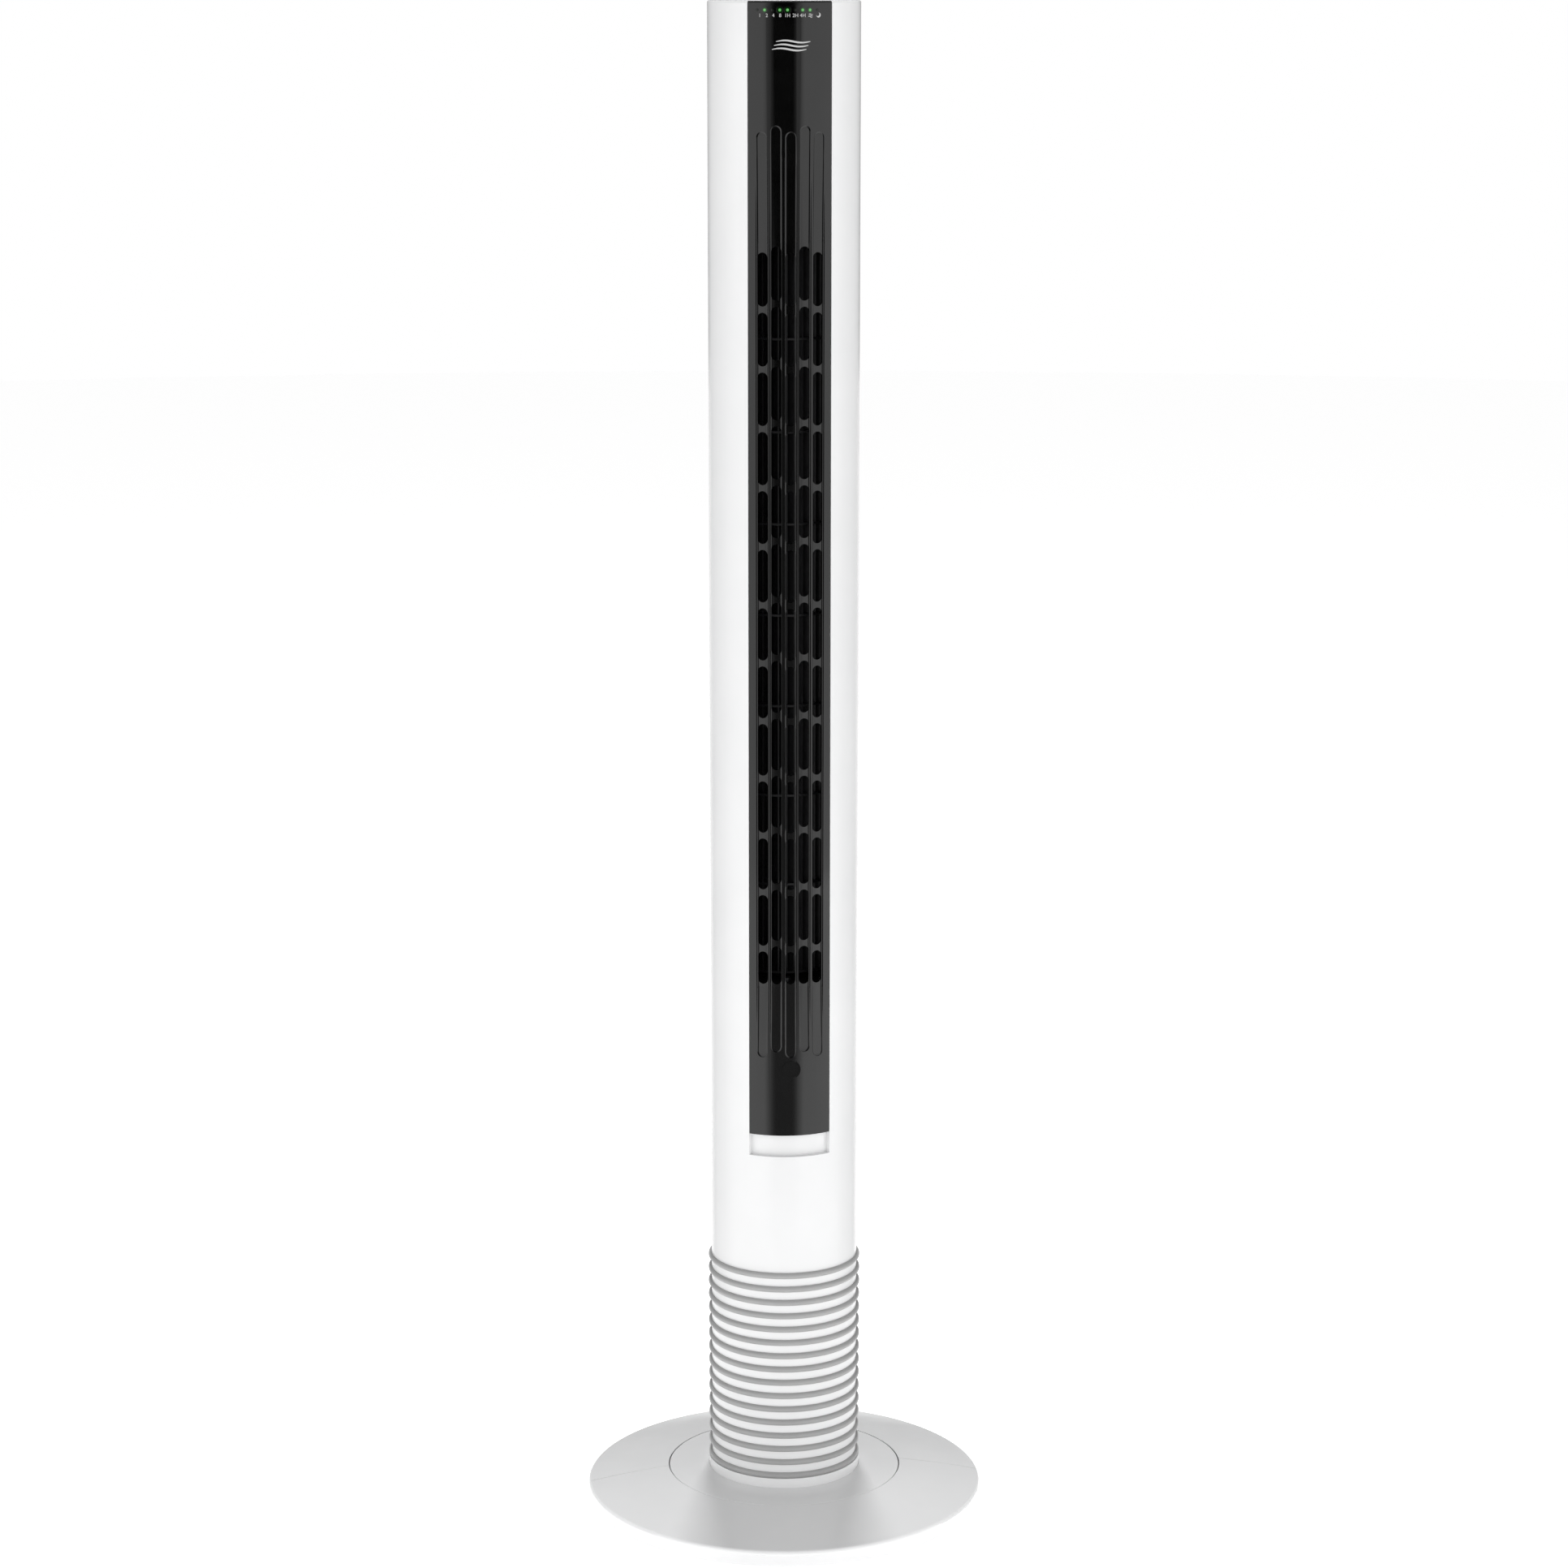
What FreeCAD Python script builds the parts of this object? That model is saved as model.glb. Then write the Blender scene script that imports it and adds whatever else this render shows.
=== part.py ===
"""Tower fan: a slim oscillating column fan on a round base.

Frame: millimetres, +Z up, origin on the floor under the centre of the base, air outlet facing -Y.
"""
import FreeCAD, Part
import Sketcher
import math
import os
import re

from FreeCAD import Placement, Rotation, Vector

# Every driving dimension: alias, value, what it is.
DIMENSIONS = [
    ("overall_height", 1200.0, "floor to the upper edge of the tower"),
    ("running_gap", 0.3, "clearance between pieces that move past each other"),
    ("fit_gap", 0.1, "clearance between pieces that are fixed to each other"),
    ("base_radius", 159.6, "rounded lip of the base cover"),
    ("drum_radius", 156.5, "side wall of the base plate"),
    ("plate_bottom", 1.0, "underside of the base plate above the floor"),
    ("plate_top", 4.5, "inside floor of the base plate"),
    ("drum_top", 10.6, "top of the base plate's side wall"),
    ("drum_wall", 3.0, "thickness of the base plate's side wall"),
    ("foot_radius", 8.0, "rubber foot"),
    ("foot_height", 2.5, "rubber foot"),
    ("foot_circle", 140.0, "circle that the rubber feet stand on"),
    ("cover_skin", 2.8, "thickness of the base cover"),
    ("cover_screw_circle", 104.0, "circle of the base cover's screws"),
    ("post_outer", 21.0, "hollow pivot post of the base"),
    ("post_inner", 15.0, "cable way through the pivot post"),
    ("post_top", 27.2, "top of the pivot post"),
    ("cord_radius", 2.9, "bore of the cord gland"),
    ("gland_height", 6.6, "centre of the cord gland above the floor"),
    ("table_radius", 93.4, "turntable that carries the column"),
    ("table_bottom", 23.5, "underside of the turntable"),
    ("table_edge", 26.5, "top of the turntable at its rim"),
    ("table_seat", 27.0, "top of the turntable inside the column"),
    ("column_foot", 27.8, "top of the turntable at the column"),
    ("gear_module", 1.5, "swing gears"),
    ("gear_bottom", 16.0, "underside of the sector gear"),
    ("gear_face", 4.0, "face width of the sector gear"),
    ("sector_teeth", 88.0, "teeth of a full circle of the sector gear"),
    ("sector_cut", 30.0, "teeth cut on the sector gear"),
    ("pinion_teeth", 16.0, "teeth of the drive pinion"),
    ("tower_radius", 58.5, "outside of the tower"),
    ("tower_wall", 2.6, "thickness of the tower shells"),
    ("tower_bottom", 208.1, "lower edge of the shells and top of the column"),
    ("edge_radius", 1.7, "rounding of the tower's upper edge"),
    ("rib_radius", 61.0, "outside of the column's bands and of its foot"),
    ("band_height", 4.7, "one band of the column"),
    ("band_round", 1.5, "how far a band's edges stand back from its middle"),
    ("band_pitch", 11.18, "from band to band"),
    ("band_count", 16.0, "bands on the column"),
    ("panel_angle", 32.5, "half angle of the front panel"),
    ("panel_bottom", 321.7, "lower edge of the front panel"),
    ("panel_skin", 1.9, "thickness of the front panel"),
    ("window_angle", 33.0, "half angle of the channel that holds the front panel"),
    ("window_bottom", 304.1, "lower edge of the channel, a finger's width under the panel"),
    ("channel_depth", 4.1, "depth of the channel"),
    ("channel_skin", 2.2, "thickness of the channel's floor"),
    ("channel_top", 1196.8, "top of the channel's floor"),
    ("outlet_angle", 28.8, "half angle of the air outlet in the front shell"),
    ("outlet_bottom", 377.0, "lower edge of the air outlet"),
    ("outlet_top", 1111.0, "upper edge of the air outlet"),
    ("flute_angle", 10.9, "from flute to flute of the grille"),
    ("flute_width", 9.7, "one flute of the grille"),
    ("flute_depth", 1.9, "depth of a flute"),
    ("flute_round", 1.7, "rounding between a flute's floor and its walls"),
    ("flute_skin", 1.6, "thickness of a flute's floor"),
    ("flute_bottom", 384.6, "lower end of the flutes"),
    ("flute_top", 1104.4, "upper end of the flutes"),
    ("flute_lip", 0.35, "depth of a flute at its ends"),
    ("slot_width", 8.0, "air slot"),
    ("slot_height", 40.69, "air slot"),
    ("slot_pitch", 45.27, "from slot to slot"),
    ("slot_top", 1013.8, "top of the highest slot in the outer and middle flutes"),
    ("slot_shift", 4.58, "how much higher the second and fourth flute and their slots sit"),
    ("slot_rows", 13.0, "slots in a flute"),
    ("slot_floor", 444.5, "where the lowest row of slots is cut short"),
    ("plug_radius", 6.7, "round plug over the panel's screw"),
    ("plug_height", 375.8, "centre of the round plug"),
    ("lamp_height", 1193.4, "row of indicator lamps"),
    ("lamp_radius", 0.95, "one indicator lamp"),
    ("lamp_step", 5.62, "angle from lamp to lamp"),
    ("lamp_middle", -2.45, "angle of the middle lamp"),
    ("cap_radius", 55.6, "top cap"),
    ("cap_bottom", 1197.0, "underside of the top cap"),
    ("cap_top", 1198.6, "top cap, sunk inside the tower's edge"),
    ("button_radius", 6.3, "push button"),
    ("button_circle", 38.0, "arc that the push buttons lie on"),
    ("button_step", 28.0, "angle from button to button"),
    ("button_travel", 0.9, "stroke of a push button, and how far it stands up"),
    ("board_top", 1184.0, "upper face of the control board"),
    ("blower_offset", 9.0, "blower axis behind the tower's axis"),
    ("blower_radius", 37.0, "blower wheel"),
    ("blower_bottom", 446.0, "lower end of the blower wheel"),
    ("blower_length", 572.0, "length of the blower wheel"),
    ("blade_count", 36.0, "blades round the wheel"),
    ("wheel_cells", 8.0, "lengths that the wheel's rings divide it into"),
    ("shaft_radius", 4.0, "motor shaft"),
    ("duct_skin", 1.8, "thickness of the air guides"),
    ("bulkhead_low", 436.0, "underside of the lower bulkhead"),
    ("bulkhead_high", 1024.0, "underside of the upper bulkhead"),
    ("bulkhead_skin", 3.0, "thickness of a bulkhead"),
    ("motor_bottom", 378.0, "underside of the fan motor"),
    ("motor_height", 47.0, "height of the fan motor"),
    ("motor_radius", 38.0, "fan motor"),
    ("vent_bottom", 462.0, "lowest air intake slot of the rear shell"),
    ("vent_pitch", 12.0, "from intake slot to intake slot"),
    ("vent_height", 5.5, "one intake slot"),
    ("vent_rows", 46.0, "rows of intake slots"),
    ("handle_bottom", 1085.0, "lower edge of the carry handle"),
    ("handle_height", 40.0, "opening of the carry handle"),
    ("handle_width", 71.0, "opening of the carry handle"),
    ("handle_floor", 27.0, "where the carry handle's pocket ends, behind the tower's axis"),
]

BUTTONS = ["button_power", "button_speed", "button_mode", "button_timer", "button_swing"]
LIT_LAMPS = (1, 3, 4, 6, 7)
COVER_BOSSES = {"base_cover_front": (210, 270, 330), "base_cover_rear": (30, 150)}
SHELL_SCREW_HEIGHTS = (250, 424, 1042, 1160)
SHELL_SCREW_OFFSET = 47
GRILLE_FLUTES = (-2, -1, 0, 1, 2)

doc = FreeCAD.newDocument("TowerFan")
sheet = doc.addObject("Spreadsheet::Sheet", "dims")
for row, (alias, value, meaning) in enumerate(DIMENSIONS, start=1):
    sheet.set("A%d" % row, meaning)
    sheet.set("B%d" % row, str(value))
    sheet.setAlias("B%d" % row, alias)
doc.recompute()

nodes = {}


# ---------------------------------------------------------------- helpers

def tie(expression):
    """The expression with each dimension word pointing into the sheet."""
    return re.sub(r"[a-z]+(?:_[a-z]+)+", r"dims.\g<0>", expression)


def number(expression):
    """The value of an expression over the dimension words."""
    return float(sheet.evalExpression(expression))


def bind(item, **sizes):
    """Tie an object's properties to expressions over the sheet."""
    for name, expression in sizes.items():
        item.setExpression(name, tie(expression))


def place(item, x="0", y="0", z="0", turn=0.0, axis=(0, 0, 1)):
    """Put an object where three expressions say, turned about an axis."""
    item.Placement = Placement(Vector(number(x), number(y), number(z)), Rotation(Vector(*axis), turn))
    for key, expression in (("x", x), ("y", y), ("z", z)):
        item.setExpression("Placement.Base." + key, tie(expression))


def rod(name, radius, length, x="0", y="0", z="0", turn=0.0, axis=(0, 0, 1)):
    """A solid cylinder that starts at x, y, z."""
    item = doc.addObject("Part::Cylinder", name)
    bind(item, Radius=radius, Height=length)
    place(item, x, y, z, turn, axis)
    return item


def rod_back(name, radius, length, x="0", y="0", z="0"):
    """A solid cylinder lying along +Y."""
    return rod(name, radius, length, x, y, z, -90, (1, 0, 0))


def block(name, width, depth, height, x, y, z):
    """A box whose lowest corner is x, y, z."""
    item = doc.addObject("Part::Box", name)
    bind(item, Length=width, Width=depth, Height=height)
    place(item, x, y, z)
    return item


def slice_of(name, radius, half_angle, length, z, facing=-90.0):
    """The part of an upright cylinder that lies half_angle either side of the direction facing."""
    item = rod(name, radius, length, z=z, turn=facing - number(half_angle))
    bind(item, Angle="2 * (%s)" % half_angle)
    return item


def cut(name, base, *tools):
    """The base without the tools."""
    item = doc.addObject("Part::Cut", name)
    item.Base = base
    item.Tool = tools[0] if len(tools) == 1 else join(name + "_tools", *tools)
    return item


def common(name, base, tool):
    """What two objects share."""
    item = doc.addObject("Part::Common", name)
    item.Base = base
    item.Tool = tool
    return item


def join(name, *pieces):
    """Several overlapping objects as one solid."""
    item = doc.addObject("Part::MultiFuse", name)
    item.Shapes = list(pieces)
    return item


def group(name, pieces):
    """Several separate solids in one object."""
    item = doc.addObject("Part::Compound", name)
    item.Links = list(pieces)
    return item


def tube(name, outer, inner, length, x="0", y="0", z="0"):
    """An upright round tube."""
    return cut(name, rod(name + "_outside", outer, length, x, y, z),
               rod(name + "_bore", inner, length, x, y, z))


def curved_plate(name, outer, inner, half_angle, length, z, facing=-90.0):
    """A slice of an upright tube."""
    return cut(name, slice_of(name + "_outside", outer, half_angle, length, z, facing),
               rod(name + "_inside", inner, length, z=z))


def turned(name, corners, sweep=360.0, start=0.0):
    """A body turned about Z from a section of (radius, height) corners.

    A corner with two more entries starts an arc to the next corner through that point.
    """
    body = doc.addObject("PartDesign::Body", name)
    sketch = body.newObject("Sketcher::SketchObject", name + "_section")
    plane = [item for item in body.Origin.OriginFeatures if item.Role == "XZ_Plane"][0]
    sketch.AttachmentSupport = [(plane, "")]
    sketch.MapMode = "FlatFace"
    values = [[number(text) for text in corner] for corner in corners]
    firsts = []
    for index, value in enumerate(values):
        begin = Vector(value[0], value[1], 0)
        finish = Vector(*values[(index + 1) % len(values)][:2], 0)
        edge, first = Part.LineSegment(begin, finish), 1
        if len(value) == 4:
            edge, first = sketch_arc(begin, Vector(value[2], value[3], 0), finish)
        sketch.addGeometry(edge, False)
        firsts.append(first)
    for index, corner in enumerate(corners):
        for kind, expression, value in zip(("DistanceX", "DistanceY"), corner, values[index]):
            item = sketch.addConstraint(Sketcher.Constraint(kind, -1, 1, index, firsts[index], value))
            sketch.setExpression("Constraints[%d]" % item, tie(expression))
        following = (index + 1) % len(corners)
        sketch.addConstraint(Sketcher.Constraint("Coincident", index, 3 - firsts[index],
                                                 following, firsts[following]))
    revolution = body.newObject("PartDesign::Revolution", name + "_turning")
    revolution.Profile = sketch
    revolution.ReferenceAxis = (sketch, ["V_Axis"])
    revolution.Angle = sweep
    body.Placement = Placement(Vector(0, 0, 0), Rotation(Vector(0, 0, 1), start))
    return body


def sketch_arc(begin, middle, finish):
    """An anticlockwise arc through three points, and which of its ends, 1 or 2, is the first point."""
    if (middle - begin).cross(finish - begin).z > 0:
        return Part.Arc(begin, middle, finish), 1
    return Part.Arc(finish, middle, begin), 2


def solid(name, shape, turn=0.0):
    """A computed shape as an object of the document."""
    item = doc.addObject("Part::Feature", name)
    item.Shape = shape
    item.Placement = Placement(Vector(0, 0, 0), Rotation(Vector(0, 0, 1), turn))
    return item


def keep(item):
    """Count an object as a sub-part under its own name."""
    item.Label = item.Name
    nodes[item.Name] = item
    return item


def around(radius, degrees):
    """Expressions for the point at an angle on a circle."""
    return ("(%s) * %.9f" % (radius, math.cos(math.radians(degrees))),
            "(%s) * %.9f" % (radius, math.sin(math.radians(degrees))))


def screw(name, x, y, z, shank, head, length, head_height, down=False):
    """A pan-head screw along Z; z is where its head meets the work, and down puts the head below."""
    stem_z = z if down else "%s - (%s)" % (z, length)
    head_z = "%s - (%s)" % (z, head_height) if down else z
    return join(name, rod(name + "_stem", shank, length, x, y, stem_z),
                rod(name + "_head", head, head_height, x, y, head_z))


# ---------------------------------------------------------------- base

def make_base_plate():
    """Tray of the base with the hollow pivot post, foot pockets, screw holes and the gland's hole."""
    tray = turned("base_tray", [
        ("post_inner", "plate_bottom"),
        ("drum_radius", "plate_bottom"),
        ("drum_radius", "drum_top"),
        ("drum_radius - drum_wall", "drum_top"),
        ("drum_radius - drum_wall", "plate_top"),
        ("post_outer", "plate_top"),
        ("post_outer", "post_top"),
        ("post_inner", "post_top")])
    tools = [rod_back("gland_hole", "cord_radius + 0.75", "12", "0", "drum_radius - 10", "gland_height")]
    for step in range(6):
        x, y = around("foot_circle", 60 * step)
        tools.append(rod("foot_pocket_%d" % step, "foot_radius + fit_gap", "1.5", x, y, "plate_bottom"))
    for degrees in sum(COVER_BOSSES.values(), ()):
        x, y = around("cover_screw_circle", degrees)
        tools.append(rod("cover_hole_%d" % degrees, "1.9", "4", x, y, "plate_bottom"))
        tools.append(rod("cover_sink_%d" % degrees, "3.4", "1.8", x, y, "plate_bottom"))
    for degrees in (30, 150, 270):
        x, y = around("(post_outer + post_inner) / 2", degrees)
        tools.append(rod("retainer_pilot_%d" % degrees, "1.3", "10", x, y, "post_top - 10"))
    keep(cut("base_plate", tray, *tools))


def make_base_cover(name, facing):
    """Half of the domed base cover, with the bosses that its screws go into."""
    half = turned(name + "_shell", [
        ("table_radius + 0.8", "26.4", "127", "21.45"),
        ("base_radius - 2.0", "15.4", "base_radius - 0.6", "14.65"),
        ("base_radius", "13.0", "base_radius - 0.4", "11.5"),
        ("base_radius - 1.5", "drum_top + fit_gap"),
        ("drum_radius - drum_wall", "drum_top + fit_gap"),
        ("drum_radius - drum_wall - 2", "13.4", "126", "21.45 - cover_skin"),
        ("table_radius + 0.8", "26.4 - cover_skin")], 179.8, facing - 89.9)
    bosses = []
    pilots = []
    for degrees in COVER_BOSSES[name]:
        x, y = around("cover_screw_circle", degrees)
        bosses.append(rod("boss_%d" % degrees, "4", "18.5", x, y, "plate_top + fit_gap"))
        pilots.append(rod("boss_pilot_%d" % degrees, "1.3", "12", x, y, "plate_top"))
    keep(cut(name, join(name + "_bossed", half, *bosses), *pilots))


def make_base_fittings():
    """Ballast, feet, screws, gland and the ring that the tower turns on."""
    tube_ring = tube("ballast_ring", "150", "112", "5.5", z="plate_top")
    tube_gap = block("ballast_gap", "30", "60", "8", "-15", "100", "plate_top - 1")
    keep(cut("base_weight", tube_ring, tube_gap))
    feet = []
    for step in range(6):
        x, y = around("foot_circle", 60 * step)
        feet.append(rod("foot_%d" % step, "foot_radius", "foot_height", x, y))
    keep(group("rubber_feet", feet))
    screws = []
    for degrees in sum(COVER_BOSSES.values(), ()):
        x, y = around("cover_screw_circle", degrees)
        screws.append(screw("cover_screw_%d" % degrees, x, y, "plate_bottom + 1.8", "1.25", "3.1",
                            "13", "1.6", down=True))
    keep(group("cover_screws", screws))
    sleeve = rod_back("gland_sleeve", "cord_radius + 0.7", "11", "0", "drum_radius - 9", "gland_height")
    flange = rod_back("gland_flange", "cord_radius + 1.0", "1.5", "0", "drum_radius + 0.1", "gland_height")
    bore = rod_back("gland_bore", "cord_radius", "14", "0", "drum_radius - 10", "gland_height")
    keep(cut("cord_gland", join("gland_body", sleeve, flange), bore))
    keep(tube("slide_ring", "32", "post_outer + fit_gap", "1.8", z="plate_top"))
    ring = tube("retaining_disc", "30", "post_inner", "2.5", z="post_top")
    holes = []
    screws = []
    for degrees in (30, 150, 270):
        x, y = around("(post_outer + post_inner) / 2", degrees)
        holes.append(rod("retainer_hole_%d" % degrees, "1.6", "4", x, y, "post_top - 1"))
        screws.append(screw("retainer_screw_%d" % degrees, x, y, "post_top + 2.5", "1.25", "2.8",
                            "11", "1.8"))
    keep(cut("retaining_ring", ring, *holes))
    keep(group("retainer_screws", screws))


def make_swing_drive():
    """Flat synchronous motor in the base and its pinion, behind the pivot."""
    centre = "gear_module * (sector_teeth + pinion_teeth) / 2"
    can = rod("swing_can", "24.5", "9.5", "0", centre + " + 6", "plate_top")
    neck = rod("swing_neck", "5", "1.0", "0", centre, "plate_top + 9.5")
    shaft = rod("swing_shaft", "2.4", "6.0", "0", centre, "plate_top + 9.5")
    keep(join("swing_motor", can, neck, shaft))
    height = number("gear_face") + 1.2
    teeth = int(number("pinion_teeth"))
    wheel = toothed_wheel(teeth, range(teeth), 270.0, 0.0, height)
    wheel = wheel.cut(Part.makeCylinder(2.45, height + 2, Vector(0, 0, -1)))
    item = solid("drive_pinion", wheel)
    place(item, "0", centre, "gear_bottom - 0.6")
    keep(item)


def tooth_flank(teeth, radius):
    """Angle from a tooth's centre line to its flank at a radius, an involute of 20 degrees."""
    pitch = number("gear_module") * teeth / 2
    pressure = math.radians(20)
    base = pitch * math.cos(pressure)
    backlash = 0.14
    half = (math.pi * number("gear_module") / 2 - backlash) / (2 * pitch)
    start = half + math.tan(pressure) - pressure
    if radius <= base:
        return start
    slope = math.acos(base / radius)
    return start - (math.tan(slope) - slope)


def tooth_face(teeth, degrees):
    """One tooth of a spur gear, its centre line at an angle."""
    pitch = number("gear_module") * teeth / 2
    module = number("gear_module")
    foot = pitch - 1.25 * module
    radii = [foot - 0.6, max(foot, pitch * math.cos(math.radians(20)))]
    radii.append((radii[1] + pitch + module) / 2)
    radii.append(pitch + module)
    middle = math.radians(degrees)
    sides = []
    for side in (-1, 1):
        angles = [middle + side * tooth_flank(teeth, radius) for radius in radii]
        sides.append([Vector(radius * math.cos(angle), radius * math.sin(angle), 0)
                      for radius, angle in zip(radii, angles)])
    low, high = sides
    tip = Vector(radii[3] * math.cos(middle), radii[3] * math.sin(middle), 0)
    edges = [Part.LineSegment(high[0], low[0]), Part.LineSegment(low[0], low[1]),
             Part.Arc(low[1], low[2], low[3]), Part.Arc(low[3], tip, high[3]),
             Part.Arc(high[3], high[2], high[1]), Part.LineSegment(high[1], high[0])]
    return Part.Face(Part.Wire([edge.toShape() for edge in edges]))


def toothed_wheel(teeth, places, first, offset, height):
    """Spur teeth at some of the places round a root disc."""
    root = number("gear_module") * (teeth / 2 - 1.25)
    wheel = Part.makeCylinder(root, height)
    raised = [tooth_face(teeth, first + (index + offset) * 360.0 / teeth).extrude(Vector(0, 0, height))
              for index in places]
    return wheel.multiFuse(raised).removeSplitter()


# ---------------------------------------------------------------- foot of the tower

def make_turntable():
    """Disc that carries the column, with the sleeve that turns on the base's post."""
    disc = turned("turntable_disc", [
        ("post_outer + running_gap", "6.45"),
        ("26", "6.45"),
        ("26", "table_bottom"),
        ("34", "table_bottom"),
        ("34", "gear_bottom + gear_face"),
        ("40", "gear_bottom + gear_face"),
        ("40", "table_bottom"),
        ("table_radius - 0.6", "table_bottom"),
        ("table_radius", "table_bottom + 0.6"),
        ("table_radius", "table_edge - 0.5"),
        ("table_radius - 0.5", "table_edge", "78", "table_edge + 0.85"),
        ("rib_radius + fit_gap", "column_foot"),
        ("rib_radius + fit_gap", "table_seat"),
        ("post_outer + running_gap", "table_seat")])
    holes = []
    for degrees in (30, 150, 270):
        x, y = around("37", degrees)
        holes.append(rod("gear_pilot_%d" % degrees, "1.3", "7", x, y, "gear_bottom"))
        x, y = around("50", degrees)
        holes.append(rod("column_hole_%d" % degrees, "1.9", "5", x, y, "table_bottom - 1"))
    keep(cut("turntable", disc, *holes))


def make_sector_gear():
    """Toothed sector screwed under the turntable."""
    teeth = int(number("sector_teeth"))
    cut_teeth = int(number("sector_cut"))
    height = number("gear_face")
    half_sweep = cut_teeth * 180.0 / teeth
    first = -(cut_teeth // 2)
    wheel = toothed_wheel(teeth, range(first, first + cut_teeth), 90.0, 0.5, height)
    reach = Part.makeCylinder(80, height, Vector(0, 0, 0), Vector(0, 0, 1), 2 * half_sweep)
    reach.rotate(Vector(0, 0, 0), Vector(0, 0, 1), 90 - half_sweep)
    plate = wheel.common(reach).fuse(Part.makeCylinder(41, height)).removeSplitter()
    holes = [Part.makeCylinder(26.2, height)]
    for degrees in (30, 150, 270):
        angle = math.radians(degrees)
        holes.append(Part.makeCylinder(1.6, height, Vector(37 * math.cos(angle), 37 * math.sin(angle), 0)))
    for degrees in (58, 90, 122):
        angle = math.radians(degrees)
        holes.append(Part.makeCylinder(6, height, Vector(52 * math.cos(angle), 52 * math.sin(angle), 0)))
    item = solid("sector_gear", plate.cut(holes))
    place(item, z="gear_bottom")
    keep(item)
    screws = []
    for degrees in (30, 150, 270):
        x, y = around("37", degrees)
        screws.append(screw("gear_screw_%d" % degrees, x, y, "gear_bottom", "1.25", "2.8", "6.5", "1.6",
                            down=True))
    keep(group("gear_screws", screws))


def make_column():
    """White column on a plain foot, the grey bands pushed over it, and the screws that hold it down."""
    tube_wall = tube("column_wall", "tower_radius", "tower_radius - 3", "tower_bottom - table_seat",
                     z="table_seat")
    spigot = tube("column_spigot", "tower_radius - tower_wall - 0.15", "tower_radius - 6", "20",
                  z="tower_bottom - 3")
    bands = []
    for step in range(int(number("band_count"))):
        top = "tower_bottom - band_pitch * %d" % step
        bottom = top + " - band_height"
        bands.append(turned("band_%d" % step, [
            ("tower_radius", bottom),
            ("rib_radius - band_round", bottom, "rib_radius", top + " - band_height / 2"),
            ("rib_radius - band_round", top),
            ("tower_radius", top)]))
    foot_top = "tower_bottom - band_height - band_pitch * (band_count - 1)"
    flange = tube("column_flange", "rib_radius", "tower_radius - 3", foot_top + " - table_seat",
                  z="table_seat")
    bosses = []
    pilots = []
    screws = []
    for degrees in (30, 150, 270):
        x, y = around("50", degrees)
        bosses.append(rod("column_boss_%d" % degrees, "6", "18", x, y, "table_seat"))
        pilots.append(rod("column_pilot_%d" % degrees, "1.3", "14", x, y, "table_seat"))
        screws.append(screw("column_screw_%d" % degrees, x, y, "table_bottom", "1.25", "2.8", "14", "1.6",
                            down=True))
    body = join("column_body", tube_wall, spigot, flange, *bosses)
    keep(cut("ribbed_column", body, *pilots))
    keep(group("column_bands", bands))
    keep(group("column_screws", screws))


# ---------------------------------------------------------------- shells of the tower

def rounded_wall(name, skin, bottom, half_angle, facing):
    """Curved wall at the tower's radius, its outer edge rounded at the top."""
    return turned(name, [
        ("tower_radius - " + skin, bottom),
        ("tower_radius", bottom),
        ("tower_radius", "overall_height - edge_radius",
         "tower_radius - edge_radius * 0.293", "overall_height - edge_radius * 0.293"),
        ("tower_radius - edge_radius", "overall_height"),
        ("tower_radius - " + skin, "overall_height")], 2 * half_angle, facing - half_angle)


def make_front_shell():
    """Front half of the tower with the sunk channel that the panel sits in and the air outlet."""
    half = rounded_wall("front_half", "tower_wall", "tower_bottom", 89.9, -90)
    trough = curved_plate("channel_block", "tower_radius", "tower_radius - channel_depth - channel_skin",
                          "window_angle + 2.2", "channel_top - window_bottom + 2.4", "window_bottom - 2.4")
    channel = curved_plate("channel_room", "tower_radius + 2", "tower_radius - channel_depth",
                           "window_angle", "overall_height - window_bottom + 2", "window_bottom")
    outlet = slice_of("outlet_room", "tower_radius + 2", "outlet_angle", "outlet_top - outlet_bottom",
                      "outlet_bottom")
    above = rod("above_channel", "cap_radius + fit_gap", "10", z="channel_top")
    tools = [channel, outlet, above]
    bosses = []
    for index, height in enumerate(SHELL_SCREW_HEIGHTS):
        for side in (-1, 1):
            x = str(side * SHELL_SCREW_OFFSET)
            name = "front_boss_%d_%s" % (index, "right" if side > 0 else "left")
            bosses.append(rod_back(name, "4.8", "25.8", x, "-26", str(height)))
            tools.append(rod_back(name + "_pilot", "1.3", "16", x, "-16", str(height)))
    tools.append(rod_back("panel_screw_pilot", "1.3", "16", "0", "-tower_radius", "plug_height"))
    stud = rod_back("panel_screw_boss", "4", "8", "0", "-tower_radius + channel_depth + 0.1", "plug_height")
    whole = join("front_solid", half, trough, stud, *bosses)
    keep(cut("front_shell", whole, *tools))


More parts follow.
